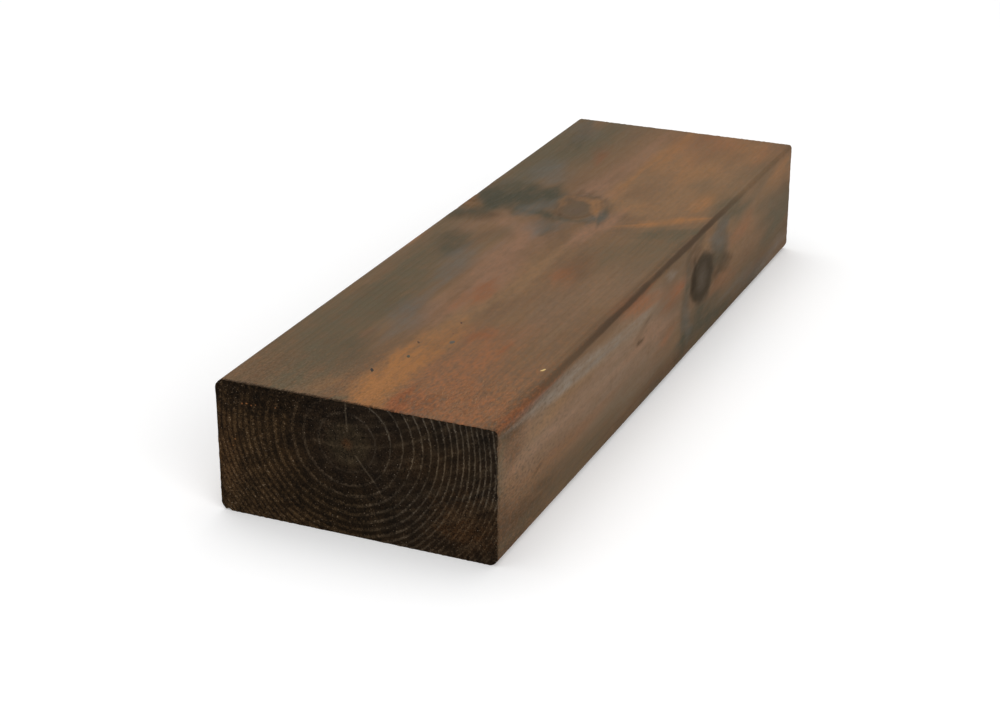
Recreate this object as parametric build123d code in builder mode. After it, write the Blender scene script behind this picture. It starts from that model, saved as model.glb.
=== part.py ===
"""Construction lumber: one length of planed softwood, 45 x 95 mm in section, sawn square at both ends.

Lengths are in millimetres and +Z is up. The timber lies on its wide face, with its grain along Y.
The origin is the centre of the underside. The near end, which shows the growth rings best, faces -Y.
"""

import os

from build123d import *

# Section: a stock size for planed structural softwood, with machine-rounded arrises
timber_width = 95.0
timber_thickness = 45.0
arris_radius = 3.0

# Length of the piece, measured between the sawn ends
timber_length = 300.0

# Scar at the near end, where a splinter tore out of the underside beside the left arris.
# Its width and depth are measured on the sawn end, and it runs out along the grain.
scar_width = 2.3
scar_depth = 0.6
scar_length = 14.0

# Share of the scar's width that lies on the flat underside. The rest lies on the arris.
scar_flat_share = 0.3

# How far the gouge that cuts the scar starts outside the sawn end
gouge_overrun = 1.0


def gouge_radius(width, depth):
    """Radius of the circle that cuts a groove of this width and depth into a flat face."""
    half_width = width / 2
    return (half_width**2 + depth**2) / (2 * depth)


# The two sawn ends, square to the grain
near_end = Plane.XZ.offset(timber_length / 2)
far_end = Plane.XZ.offset(-timber_length / 2)

# The scar is cut by a leaning cone. Its line starts at the near end, below the underside,
# and climbs to the cone's point on the underside, where the splinter ran out of the wood.
rim_radius = gouge_radius(scar_width, scar_depth)
scar_x = arris_radius + (scar_flat_share - 1 / 2) * scar_width - timber_width / 2
rim_centre = near_end.from_local_coords(Vector(scar_x, scar_depth - rim_radius, 0))
scar_point = near_end.from_local_coords(Vector(scar_x, 0, -scar_length))
gouge_line = scar_point - rim_centre

# Outside the sawn end the cone goes on widening, so that it enters the wood cleanly
gouge_height = gouge_line.length + gouge_overrun
gouge_base_radius = rim_radius * gouge_height / gouge_line.length
gouge_base = Plane(
    origin=scar_point - gouge_line.normalized() * gouge_height,
    x_dir=Vector(1, 0, 0),
    z_dir=gouge_line,
)

# The timber is one solid: its section run along the grain, less the splinter's scar
with BuildPart() as timber:
    with BuildSketch(far_end) as section:
        Rectangle(timber_width, timber_thickness, align=(Align.CENTER, Align.MIN))
        fillet(section.vertices(), radius=arris_radius)
    extrude(amount=timber_length)
    with Locations(gouge_base):
        Cone(
            bottom_radius=gouge_base_radius,
            top_radius=0,
            height=gouge_height,
            align=(Align.CENTER, Align.CENTER, Align.MIN),
            mode=Mode.SUBTRACT,
        )

timber.part.label = "timber"

os.makedirs("parts", exist_ok=True)
export_step(timber.part, "parts/timber.step")
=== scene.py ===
# %% [markdown]
# # A short length of brown treated construction lumber
# The real thing is one piece of softwood, 45 x 95 mm in section and 300 mm long. It was sawn out of
# the middle of a log, planed, eased along its four long arrises, soaked in brown preservative and
# cut to length. So the lesson has three parts: a body whose shape follows a rule, a log whose rings
# and knots follow a second rule, and the stains that the treatment left on it.

# %% Load the frame
import math

import bmesh
import bpy
import numpy as np
from mathutils import Euler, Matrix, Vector, noise


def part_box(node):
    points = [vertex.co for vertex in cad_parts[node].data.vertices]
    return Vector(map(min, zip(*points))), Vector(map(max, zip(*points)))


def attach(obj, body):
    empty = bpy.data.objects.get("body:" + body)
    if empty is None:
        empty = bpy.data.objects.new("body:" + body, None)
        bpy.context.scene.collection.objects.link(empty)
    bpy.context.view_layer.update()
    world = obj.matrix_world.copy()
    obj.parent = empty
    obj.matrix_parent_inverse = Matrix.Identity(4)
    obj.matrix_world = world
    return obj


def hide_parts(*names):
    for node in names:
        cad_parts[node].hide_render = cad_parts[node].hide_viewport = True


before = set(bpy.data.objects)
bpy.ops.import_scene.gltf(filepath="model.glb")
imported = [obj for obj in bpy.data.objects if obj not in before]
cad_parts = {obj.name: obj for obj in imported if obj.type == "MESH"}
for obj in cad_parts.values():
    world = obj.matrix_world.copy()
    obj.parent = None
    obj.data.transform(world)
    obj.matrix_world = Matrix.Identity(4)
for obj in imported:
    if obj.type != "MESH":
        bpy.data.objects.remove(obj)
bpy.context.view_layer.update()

# %% [markdown]
# ## Sizes
# Blender works in metres, and a joiner in millimetres. One constant turns one into the other, so
# that every size below can be written as it would be read off a rule. The outside sizes come from
# the frame, because the timber must fill exactly the space that the construction gives it.

# %% Sizes of the stick
MM = 0.001
low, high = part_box("timber")
width, length, thickness = (high - low) / MM
arris_radius = 3.0
print(f"timber {width:.1f} x {thickness:.1f} x {length:.1f} mm")


def on_stick(from_left, from_near, from_top):
    """A point in millimetres, read off the stick from its left face, near end and top face."""
    return Vector((from_left - width / 2, from_near - length / 2, thickness - from_top))


# %% [markdown]
# ## Two small tools
# Colours are written as they are seen on a screen, and the renderer wants them linear, so one
# function turns them. Every node in every tree is made by the other one, which fills or links the
# inputs that the chosen options leave in use, in their order or by their names.

# %% Tools for colours and nodes
def linear(colour):
    """Turns an sRGB hex colour into the linear colour that a socket holds."""
    channels = [int(colour[i : i + 2], 16) / 255 for i in (1, 3, 5)]
    return [c / 12.92 if c < 0.04045 else ((c + 0.055) / 1.055) ** 2.4 for c in channels] + [1.0]


def add(tree, kind, inputs=(), **settings):
    """Adds one node with its settings, and fills or links its inputs, in order or by name."""
    made = tree.nodes.new(kind)
    for option, value in settings.items():
        setattr(made, option, value)
    live = [socket for socket in made.inputs if socket.enabled]
    for key, value in inputs.items() if isinstance(inputs, dict) else enumerate(inputs):
        socket = live[key] if isinstance(key, int) else next(s for s in live if s.name == key)
        if isinstance(value, bpy.types.Node):
            value = next(s for s in value.outputs if s.enabled)
        if isinstance(value, bpy.types.NodeSocket):
            tree.links.new(value, socket)
        else:
            socket.default_value = value
    return made


print("the grey #808080 in linear light", round(linear("#808080")[0], 3))

# %% [markdown]
# ## The view
# The camera stands in front of the near end, above and to its right, and looks down along the
# stick. Its place and lens were worked out from eight of the nine straight edges that the
# photograph shows.

# %% Camera
camera_data = bpy.data.cameras.new("view")
camera_data.sensor_width = 36.0
camera_data.lens = 76.2
camera = bpy.data.objects.new("view", camera_data)
bpy.context.scene.collection.objects.link(camera)
camera.location = Vector((271.2, -659.24, 307.23)) * MM
aim = Vector((7.28, -56.47, 22.5)) * MM
camera.rotation_euler = (aim - camera.location).to_track_quat("-Z", "Y").to_euler()
bpy.context.scene.camera = camera
print("camera to aim", round((aim - camera.location).length, 3), "m")

# %% [markdown]
# ## Floor and light
# A large soft lamp overhead, a fill from the camera's side and a pale world give plain studio
# light. The floor is white. To the camera alone it gives off a little light of its own, so that it
# reads as white paper while the stick's soft shadow stays on it.

# %% Floor, world and lamps
def plain_material(name):
    """A new material with an empty node tree, and the surface input of its output node."""
    material = bpy.data.materials.new(name)
    material.use_nodes = True
    material.node_tree.nodes.clear()
    output = add(material.node_tree, "ShaderNodeOutputMaterial")
    return material, material.node_tree, output.inputs["Surface"]


white_paper, tree, surface = plain_material("white_paper")
paper = add(tree, "ShaderNodeBsdfDiffuse", {"Color": linear("#f6f6f6")})
path = add(tree, "ShaderNodeLightPath")
no_glow = add(tree, "ShaderNodeEmission", {"Strength": 0.0})
glow = add(tree, "ShaderNodeEmission", {"Strength": 0.16})
seen = add(tree, "ShaderNodeMixShader", [path.outputs["Is Camera Ray"], no_glow, glow])
both = add(tree, "ShaderNodeAddShader", [paper, seen])
tree.links.new(both.outputs[0], surface)

reach = 6.0
floor_mesh = bpy.data.meshes.new("floor")
corners = [(-reach, -reach, 0), (reach, -reach, 0), (reach, reach, 0), (-reach, reach, 0)]
floor_mesh.from_pydata(corners, [], [(0, 1, 2, 3)])
floor_mesh.materials.append(white_paper)
floor = bpy.data.objects.new("floor", floor_mesh)
bpy.context.scene.collection.objects.link(floor)

world = bpy.data.worlds.new("studio")
world.use_nodes = True
world.node_tree.nodes.clear()
tree = world.node_tree
path = add(tree, "ShaderNodeLightPath")
rays = [path.outputs[name] for name in ("Is Camera Ray", "Is Glossy Ray", "Is Transmission Ray")]
some = add(tree, "ShaderNodeMath", rays[:2], operation="MAXIMUM")
some = add(tree, "ShaderNodeMath", [some, rays[2]], operation="MAXIMUM")
level = add(tree, "ShaderNodeMapRange", {"Value": some, "To Min": 0.55, "To Max": 1.0})
sky = add(tree, "ShaderNodeBackground", {"Color": linear("#ffffff"), "Strength": level})
add(tree, "ShaderNodeOutputWorld", {"Surface": sky})
bpy.context.scene.world = world


def soft_lamp(name, place, size, power):
    """A square lamp that looks at the middle of the stick."""
    data = bpy.data.lights.new(name, "AREA")
    data.size = size
    data.energy = power
    lamp = bpy.data.objects.new(name, data)
    lamp.location = place
    target = Vector((0, 0, thickness / 2 * MM))
    lamp.rotation_euler = (target - lamp.location).to_track_quat("-Z", "Y").to_euler()
    bpy.context.scene.collection.objects.link(lamp)


soft_lamp("overhead", place=Vector((-0.3, 0.3, 1.5)), size=1.4, power=9.0)
soft_lamp("fill", place=Vector((1.2, -1.1, 0.8)), size=1.2, power=14.0)
bpy.context.scene.view_settings.view_transform = "Standard"
print("lamps", [lamp.name for lamp in bpy.data.lights])

# %% [markdown]
# ## How the log grew
# All the figure in wood comes from one solid thing, the log: a sawn face only shows where it cuts
# the yearly layers. So the log is written once, as a rule for the age of the wood at any place, and
# both the shape and the colours ask it. The rings were measured on the near end. They are wide at
# the pith and get closer outwards, and each is a little wider above the pith than below it. So the
# years in a millimetre start at one value and rise by another with each millimetre outwards.
#
# A branch is a cone that starts at the pith and leans up the stem. Its distance is given as a share
# of its own radius, so 1 is its bark, and the stem's layers bend out round it.

# %% The log's rule
pith_at_near_end = on_stick(45.3, 0, 13.5)
pith_drift = Vector((0.004, 0, -0.010))
age_at_pith = 1.91
years_per_mm_at_pith = 0.0544
years_per_mm_rise = 0.01212
ring_stretch = 1.01
ring_stretch_above = 0.045
stem_sway = 2.2
branches = [
    # start at the pith, end on a face, and radius there
    (on_stick(45.6, 171, 15.2), on_stick(44, 189, 0), 7.6),
    (on_stick(38.0, 152, 12.0), on_stick(-2, 186, 3.5), 7.0),
    (on_stick(46.0, 167, 15.0), on_stick(95, 187, 18.4), 9.9),
    (on_stick(45.6, 171, 15.6), on_stick(60, 192, 45), 9.0),
]


def from_line(tree, place, start, end, least, most, ways):
    """How far along a line a place lies, held between two shares of it, and how far off the line."""
    line = end - start
    from_start = add(tree, "ShaderNodeVectorMath", [place, start], operation="SUBTRACT")
    step = line / line.length_squared
    along = add(tree, "ShaderNodeVectorMath", [from_start, step], operation="DOT_PRODUCT")
    along = add(tree, "ShaderNodeClamp", [along, least, most])
    on_line = add(tree, "ShaderNodeVectorMath", {"Vector": line, "Scale": along}, operation="SCALE")
    aside = add(tree, "ShaderNodeVectorMath", [from_start, on_line], operation="SUBTRACT")
    aside = add(tree, "ShaderNodeVectorMath", [aside, ways], operation="MULTIPLY")
    return along, add(tree, "ShaderNodeVectorMath", [aside], operation="LENGTH")


def branch_share(tree, place, start, end, radius):
    """Distance from a branch's middle line, as a share of its radius there."""
    # It starts as a twig, may go on past the stick, and is longer along the grain than across it
    along, gap = from_line(tree, place, start, end, least=0.05, most=1000.0, ways=(1, 0.80, 1))
    grown = add(tree, "ShaderNodeMath", [along, radius], operation="MULTIPLY")
    return add(tree, "ShaderNodeMath", [gap, grown], operation="DIVIDE")


def grow(tree, place):
    """Adds the log to a tree. Returns the wood's age, its way out from the pith, and the branch share."""
    split = add(tree, "ShaderNodeSeparateXYZ", [place])
    drift = [split.outputs["Y"], pith_drift, pith_at_near_end - pith_drift * pith_at_near_end.y]
    pith = add(tree, "ShaderNodeVectorMath", drift, operation="MULTIPLY_ADD")
    out = add(tree, "ShaderNodeVectorMath", [place, pith], operation="SUBTRACT")

    # The stem wanders by a millimetre or so, slowly along the grain
    slow = add(tree, "ShaderNodeVectorMath", [place, (1 / 24, 1 / 130, 1 / 24)], operation="MULTIPLY")
    sway = add(tree, "ShaderNodeTexNoise", {"Vector": slow, "Scale": 1.0, "Detail": 1.5})
    sway = [sway.outputs["Color"], (stem_sway, 0, stem_sway), (-stem_sway / 2, 0, -stem_sway / 2)]
    sway = add(tree, "ShaderNodeVectorMath", sway, operation="MULTIPLY_ADD")
    out = add(tree, "ShaderNodeVectorMath", [out, sway], operation="ADD")
    out = add(tree, "ShaderNodeVectorMath", [out, (1, 0, 1)], operation="MULTIPLY")

    # Above the pith a ring is wider than below it
    radius = add(tree, "ShaderNodeVectorMath", [out], operation="LENGTH")
    rise = add(tree, "ShaderNodeSeparateXYZ", [out]).outputs["Z"]
    sine = add(tree, "ShaderNodeMath", [rise, radius], operation="DIVIDE")
    shape = [sine, ring_stretch_above, ring_stretch]
    shape = add(tree, "ShaderNodeMath", shape, operation="MULTIPLY_ADD")
    radius = add(tree, "ShaderNodeMath", [radius, shape], operation="DIVIDE")

    # The nearest branch bends the layers outwards
    share = None
    for start, end, size in branches:
        one = branch_share(tree, place, start, end, size)
        share = one if share is None else add(tree, "ShaderNodeMath", [share, one], operation="MINIMUM")
    bend = {"Value": share, "From Min": 0.7, "From Max": 2.8, "To Min": 3.2, "To Max": 0.0}
    bend = add(tree, "ShaderNodeMapRange", bend, interpolation_type="SMOOTHSTEP")
    bent = add(tree, "ShaderNodeMath", [radius, bend], operation="SUBTRACT")

    # Age from radius, fitted to the rings of the near end
    years = [bent, years_per_mm_rise / 2, years_per_mm_at_pith]
    years = add(tree, "ShaderNodeMath", years, operation="MULTIPLY_ADD")
    age = add(tree, "ShaderNodeMath", [years, bent, age_at_pith], operation="MULTIPLY_ADD")
    return age, out, share


def latewood(tree, age, share_of_ring):
    """1 in the dense wood that ends each year's ring, 0 in the soft wood that begins the next."""
    phase = add(tree, "ShaderNodeMath", [age, 0.5], operation="ADD")
    phase = add(tree, "ShaderNodeMath", [phase], operation="FRACT")
    away = add(tree, "ShaderNodeMath", [phase, 0.5], operation="SUBTRACT")
    away = add(tree, "ShaderNodeMath", [away], operation="ABSOLUTE")
    # The dense wood's edges are soft
    inner = add(tree, "ShaderNodeMath", [share_of_ring, 0.28], operation="MULTIPLY")
    outer = add(tree, "ShaderNodeMath", [share_of_ring, 0.72], operation="MULTIPLY")
    band = {"Value": away, "From Min": inner, "From Max": outer, "To Min": 1.0, "To Max": 0.0}
    return add(tree, "ShaderNodeMapRange", band, interpolation_type="SMOOTHSTEP")


print(len(branches), "branches")

# %% [markdown]
# ## The body
# A cube with edge bevels would give the outline, but not the sawn ends, where soft spring wood
# stands lower than hard summer wood, nor their crumbled rims. So Geometry Nodes make the body: a
# finely divided block, whose rows are gathered where the shape needs them, whose four long edges
# are rounded by a rule, and whose skin is then lowered by what the log's rule says. The tree works
# in millimetres and shrinks the result to metres in its last step.

# %% Start the body's tree
body = bpy.data.node_groups.new("planed timber", "GeometryNodeTree")
body.interface.new_socket(name="Timber", in_out="OUTPUT", socket_type="NodeSocketGeometry")
body_sizes = {
    "Width": width,
    "Thickness": thickness,
    "Length": length,
    "Arris radius": arris_radius,
    "Sharp arris radius": 1.5,
    "Scar width": 2.3,
    "Scar depth": 0.6,
    "Scar length": 14.0,
    "Scar from left": 2.54,
    "Cell": 0.55,
    "Rows": 138,
}
for name, value in body_sizes.items():
    kind = "NodeSocketInt" if isinstance(value, int) else "NodeSocketFloat"
    body.interface.new_socket(name=name, in_out="INPUT", socket_type=kind)
given = add(body, "NodeGroupInput").outputs
half_width = add(body, "ShaderNodeMath", [given["Width"], 2], operation="DIVIDE")
half_length = add(body, "ShaderNodeMath", [given["Length"], 2], operation="DIVIDE")
half_thickness = add(body, "ShaderNodeMath", [given["Thickness"], 2], operation="DIVIDE")

columns = add(body, "ShaderNodeMath", [given["Width"], given["Cell"]], operation="DIVIDE")
layers = add(body, "ShaderNodeMath", [given["Thickness"], given["Cell"]], operation="DIVIDE")
size = add(body, "ShaderNodeCombineXYZ", [given["Width"], given["Length"], given["Thickness"]])
block = add(body, "GeometryNodeMeshCube", [size, columns, given["Rows"], layers])
print({name: round(value, 2) for name, value in body_sizes.items()})

# %% [markdown]
# The sawn ends get their own material, and a hard edge round them. Both are settled while the block
# is still square, where a face's direction tells an end from a side. A point within a thousandth
# of a millimetre of a face counts as on it.

# %% Mark the sawn ends
touch = 0.001
flat = add(body, "GeometryNodeInputNormal")
across = add(body, "ShaderNodeVectorMath", [flat, (0, 1, 0)], operation="DOT_PRODUCT")
across = add(body, "ShaderNodeMath", [across], operation="ABSOLUTE")
is_end = add(body, "FunctionNodeCompare", [across, 0.5], operation="GREATER_THAN")
marked = {"Geometry": block, "Name": "end_grain", "Value": is_end}
marked = add(body, "GeometryNodeStoreNamedAttribute", marked, data_type="BOOLEAN", domain="FACE")

spot = add(body, "GeometryNodeInputPosition")
split = add(body, "ShaderNodeSeparateXYZ", [spot])
from_middle = add(body, "ShaderNodeMath", [split.outputs["Y"]], operation="ABSOLUTE")
from_end = add(body, "ShaderNodeMath", [half_length, from_middle], operation="SUBTRACT")
at_end = add(body, "FunctionNodeCompare", [from_end, touch], operation="LESS_THAN")
turn = add(body, "GeometryNodeInputMeshEdgeAngle")
turned = add(body, "FunctionNodeCompare", [turn, math.radians(60)], operation="GREATER_THAN")
rim = add(body, "FunctionNodeBooleanMath", [at_end, turned], operation="AND")
rimmed = {"Geometry": marked, "Name": "sharp_edge", "Value": rim}
rimmed = add(body, "GeometryNodeStoreNamedAttribute", rimmed, data_type="BOOLEAN", domain="EDGE")

# %% [markdown]
# The rows run round the stick. Most of the shape is at the sawn ends and at the knots, so a curve
# moves the evenly spaced rows there and leaves few on the plain lengths between.

# %% Gather the rows
share = add(body, "ShaderNodeMath", [split.outputs["Y"], given["Length"]], operation="DIVIDE")
share = add(body, "ShaderNodeMath", [share, 0.5], operation="ADD")
gather = add(body, "ShaderNodeFloatCurve", {"Value": share})
# share of the rows counted from the near end, and share of the length that they reach
row_places = [(0, 0), (0.045, 0.004), (0.10, 0.02), (0.42, 0.55), (0.74, 0.71), (0.90, 0.98)]
row_places += [(0.955, 0.996), (1, 1)]
curve = gather.mapping.curves[0]
while len(curve.points) < len(row_places):
    curve.points.new(0.5, 0.5)
for point, place in zip(curve.points, row_places):
    point.location = place
    point.handle_type = "VECTOR"
gather.mapping.update()
moved = add(body, "ShaderNodeMath", [gather, 0.5], operation="SUBTRACT")
moved = add(body, "ShaderNodeMath", [moved, given["Length"]], operation="MULTIPLY")

# %% [markdown]
# Rounding: in the square of wood next to each arris, a point's distance from the square's inner
# corner is its larger coordinate. Drawn in to that distance, the square's outline becomes a quarter
# of a circle, and the grid inside it follows. The upper right arris came out sharper than the rest,
# as it does when a stick runs through the planer a little off its guide.

# %% Round the arrises
on_right = add(body, "FunctionNodeCompare", [split.outputs["X"], 0.0], operation="GREATER_THAN")
on_top = add(body, "FunctionNodeCompare", [split.outputs["Z"], 0.0], operation="GREATER_THAN")
off_guide = add(body, "FunctionNodeBooleanMath", [on_right, on_top], operation="AND")
radii = [off_guide, given["Arris radius"], given["Sharp arris radius"]]
arris = add(body, "GeometryNodeSwitch", radii, input_type="FLOAT")
inner_x = add(body, "ShaderNodeMath", [half_width, arris], operation="SUBTRACT")
inner_z = add(body, "ShaderNodeMath", [half_thickness, arris], operation="SUBTRACT")
inner = add(body, "ShaderNodeCombineXYZ", [inner_x, given["Length"], inner_z])
size_of = add(body, "ShaderNodeVectorMath", [spot], operation="ABSOLUTE")
side_of = add(body, "ShaderNodeVectorMath", [spot], operation="SIGN")
beyond = add(body, "ShaderNodeVectorMath", [size_of, inner], operation="SUBTRACT")
beyond = add(body, "ShaderNodeVectorMath", [beyond, (0, 0, 0)], operation="MAXIMUM")
beyond_split = add(body, "ShaderNodeSeparateXYZ", [beyond])
larger = [beyond_split.outputs["X"], beyond_split.outputs["Z"]]
larger = add(body, "ShaderNodeMath", larger, operation="MAXIMUM")
straight = add(body, "ShaderNodeVectorMath", [beyond], operation="LENGTH")
shrink = add(body, "ShaderNodeMath", [larger, straight], operation="DIVIDE")
shrink = add(body, "ShaderNodeMath", [shrink, 1], operation="SUBTRACT")
drawn = add(body, "ShaderNodeVectorMath", {"Vector": beyond, "Scale": shrink}, operation="SCALE")
drawn = add(body, "ShaderNodeVectorMath", [drawn, side_of], operation="MULTIPLY")
outward = add(body, "ShaderNodeVectorMath", [beyond], operation="NORMALIZE")
outward = add(body, "ShaderNodeVectorMath", [outward, side_of], operation="MULTIPLY")

lifted = add(body, "ShaderNodeMath", [split.outputs["Z"], half_thickness], operation="ADD")
placed = add(body, "ShaderNodeCombineXYZ", [split.outputs["X"], moved, lifted])
placed = add(body, "ShaderNodeVectorMath", [placed, drawn], operation="ADD")

# %% [markdown]
# ## The splinter's scar
# At the near end a splinter tore out of the underside beside the left arris. It left a shallow
# hollow that runs out along the grain. Its cross-section is a low arch, and the wood below the arch
# is lifted up to it. Further up in the sawn end the lift dies away, so that the grid stays even.

# %% Tear out the splinter
spot_split = add(body, "ShaderNodeSeparateXYZ", [placed])
from_left = add(body, "ShaderNodeMath", [spot_split.outputs["X"], half_width], operation="ADD")
from_near = add(body, "ShaderNodeMath", [spot_split.outputs["Y"], half_length], operation="ADD")
run_out = {"Value": from_near, "From Max": given["Scar length"], "To Min": 1.0, "To Max": 0.001}
run_out = add(body, "ShaderNodeMapRange", run_out)
half_scar = add(body, "ShaderNodeMath", [given["Scar width"], run_out], operation="MULTIPLY")
half_scar = add(body, "ShaderNodeMath", [half_scar, 2], operation="DIVIDE")
aside = add(body, "ShaderNodeMath", [from_left, given["Scar from left"]], operation="SUBTRACT")
aside = add(body, "ShaderNodeMath", [aside, half_scar], operation="DIVIDE")
arch = add(body, "ShaderNodeMath", [aside, aside], operation="MULTIPLY")
arch = add(body, "ShaderNodeMath", [1, arch], operation="SUBTRACT")
arch = add(body, "ShaderNodeMath", [arch, given["Scar depth"]], operation="MULTIPLY")
arch = add(body, "ShaderNodeMath", [arch, run_out], operation="MULTIPLY")

inside = add(body, "ShaderNodeMath", [given["Arris radius"], from_left], operation="SUBTRACT")
inside = add(body, "ShaderNodeMath", [inside, 0], operation="MAXIMUM")
inside = add(body, "ShaderNodeMath", [inside, inside], operation="MULTIPLY")
squared = [given["Arris radius"], given["Arris radius"]]
squared = add(body, "ShaderNodeMath", squared, operation="MULTIPLY")
inside = add(body, "ShaderNodeMath", [squared, inside], operation="SUBTRACT")
inside = add(body, "ShaderNodeMath", [inside], operation="SQRT")
outline = add(body, "ShaderNodeMath", [given["Arris radius"], inside], operation="SUBTRACT")

lift = add(body, "ShaderNodeMath", [arch, outline], operation="SUBTRACT")
lift = add(body, "ShaderNodeMath", [lift, 0], operation="MAXIMUM")
above = add(body, "ShaderNodeMath", [spot_split.outputs["Z"], outline], operation="SUBTRACT")
above = {"Value": above, "From Max": 2.5, "To Min": 1.0, "To Max": 0.0}
above = add(body, "ShaderNodeMapRange", above)
lift = add(body, "ShaderNodeMath", [lift, above], operation="MULTIPLY")
lift = add(body, "ShaderNodeCombineXYZ", {"Z": lift})
placed = add(body, "ShaderNodeVectorMath", [placed, lift], operation="ADD")

# %% [markdown]
# ## The sawn ends and the planed skin
# A saw tears the soft spring wood deeper than the hard summer wood, so each ring stands up as a
# fine ridge, and it breaks fibres out of the rim. A plane leaves less: the summer wood a hair
# higher, and the knots a little proud of a shallow dish, because they shrink less than the stem.
# Everything is cut inwards from the block, so the stick keeps its size.

# %% What the skin is cut by
age, out, knot_share = grow(body, placed)
radius = add(body, "ShaderNodeVectorMath", [out], operation="LENGTH")
late = latewood(body, age, 0.42)
early = add(body, "ShaderNodeMath", [1, late], operation="SUBTRACT")

placed_y = add(body, "ShaderNodeSeparateXYZ", [placed]).outputs["Y"]
to_end = add(body, "ShaderNodeMath", [placed_y], operation="ABSOLUTE")
to_end = add(body, "ShaderNodeMath", [half_length, to_end], operation="SUBTRACT")
to_side = add(body, "ShaderNodeMath", [arris, larger], operation="SUBTRACT")
on_end = add(body, "FunctionNodeCompare", [to_end, touch], operation="LESS_THAN")
on_side = add(body, "FunctionNodeCompare", [to_side, touch], operation="LESS_THAN")

# %% [markdown]
# The saw's teeth come out of the wood at the top and to the right, and they break the rim there.
# The far end was sawn cleaner. Chips are deepest on the rim itself, and a little over a millimetre
# from it there are none.

# %% Chips along the rim
crumbs = add(body, "ShaderNodeTexNoise", {"Vector": placed, "Scale": 1 / 1.5, "Detail": 2.5})
chipped = {"Value": crumbs, "From Min": 0.42, "From Max": 0.66, "To Min": 0.0, "To Max": 0.34}
chipped = add(body, "ShaderNodeMapRange", chipped, interpolation_type="SMOOTHSTEP")
exit_side = add(body, "ShaderNodeVectorMath", [outward, (0.6, 0, 0.8)], operation="DOT_PRODUCT")
exit_side = {"Value": exit_side, "From Min": -0.2, "From Max": 0.5, "To Min": 0.08, "To Max": 1.0}
exit_side = add(body, "ShaderNodeMapRange", exit_side)
chipped = add(body, "ShaderNodeMath", [chipped, exit_side], operation="MULTIPLY")
clean_cut = {"Value": placed_y, "From Min": -50.0, "From Max": 50.0, "To Min": 1.0, "To Max": 0.25}
clean_cut = add(body, "ShaderNodeMapRange", clean_cut)
chipped = add(body, "ShaderNodeMath", [chipped, clean_cut], operation="MULTIPLY")
near_rim = {"Value": to_side, "From Min": 0.0, "From Max": 1.3, "To Min": 1.0, "To Max": 0.0}
near_rim = add(body, "ShaderNodeMapRange", near_rim, interpolation_type="SMOOTHSTEP")
near_saw = {"Value": to_end, "From Min": 0.0, "From Max": 1.1, "To Min": 1.0, "To Max": 0.0}
near_saw = add(body, "ShaderNodeMapRange", near_saw, interpolation_type="SMOOTHSTEP")

# %% [markdown]
# The depths are sums: each pattern is multiplied by its own depth in millimetres, or by a second
# pattern that says where it counts. On the ends these are the spring wood, the torn tubes, the hole
# that the soft pith leaves, and the chips.

# %% Depth of the sawn ends
torn_tubes = add(body, "ShaderNodeTexNoise", {"Vector": placed, "Scale": 1 / 1.6, "Detail": 2.0})
pith_dip = {"Value": radius, "From Min": 0.3, "From Max": 1.8, "To Min": 0.25, "To Max": 0.0}
pith_dip = add(body, "ShaderNodeMapRange", pith_dip, interpolation_type="SMOOTHSTEP")
end_depth = 0.0
for cut, depth in ((early, 0.15), (torn_tubes, 0.20), (pith_dip, 1.0), (near_rim, chipped)):
    end_depth = add(body, "ShaderNodeMath", [cut, depth, end_depth], operation="MULTIPLY_ADD")

# %% [markdown]
# On the planed faces they are the spring wood, the planer's slow waves, the dish round each knot and
# the chips. At the near end, to the right, the planer plucked the surface, so it lies a tenth of a
# millimetre lower and leaves room for the fibres that stand up there.

# %% Depth of the planed faces
slow = add(body, "ShaderNodeVectorMath", [placed, (1 / 3, 1 / 14, 1 / 3)], operation="MULTIPLY")
wavy = add(body, "ShaderNodeTexNoise", {"Vector": slow, "Scale": 1.0, "Detail": 1.0})
dish = {"Value": knot_share, "From Min": 0.95, "From Max": 2.0, "To Min": 0.12, "To Max": 0.0}
dish = add(body, "ShaderNodeMapRange", dish, interpolation_type="SMOOTHSTEP")
round_knot = add(body, "FunctionNodeCompare", [knot_share, 0.92], operation="GREATER_THAN")
plucked_along = {"Value": from_near, "From Min": 20, "From Max": 55, "To Min": 0.10, "To Max": 0.0}
plucked_along = add(body, "ShaderNodeMapRange", plucked_along, interpolation_type="SMOOTHSTEP")
plucked = {"Value": from_left, "From Min": 54, "From Max": 64}
plucked = add(body, "ShaderNodeMapRange", plucked, interpolation_type="SMOOTHSTEP")
plucked = add(body, "ShaderNodeMath", [plucked, plucked_along], operation="MULTIPLY")
upward = add(body, "ShaderNodeSeparateXYZ", [outward]).outputs["Z"]
upward = add(body, "ShaderNodeMath", [upward, 0], operation="MAXIMUM")
cuts = [(early, 0.04), (wavy, 0.06), (dish, round_knot), (near_saw, chipped), (plucked, upward)]
side_depth = 0.0
for cut, depth in cuts:
    side_depth = add(body, "ShaderNodeMath", [cut, depth, side_depth], operation="MULTIPLY_ADD")

# %% [markdown]
# Each depth counts only on its own skin, and points on the rim take both. An end is cut along the
# stick, and a side straight inwards.

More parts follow.
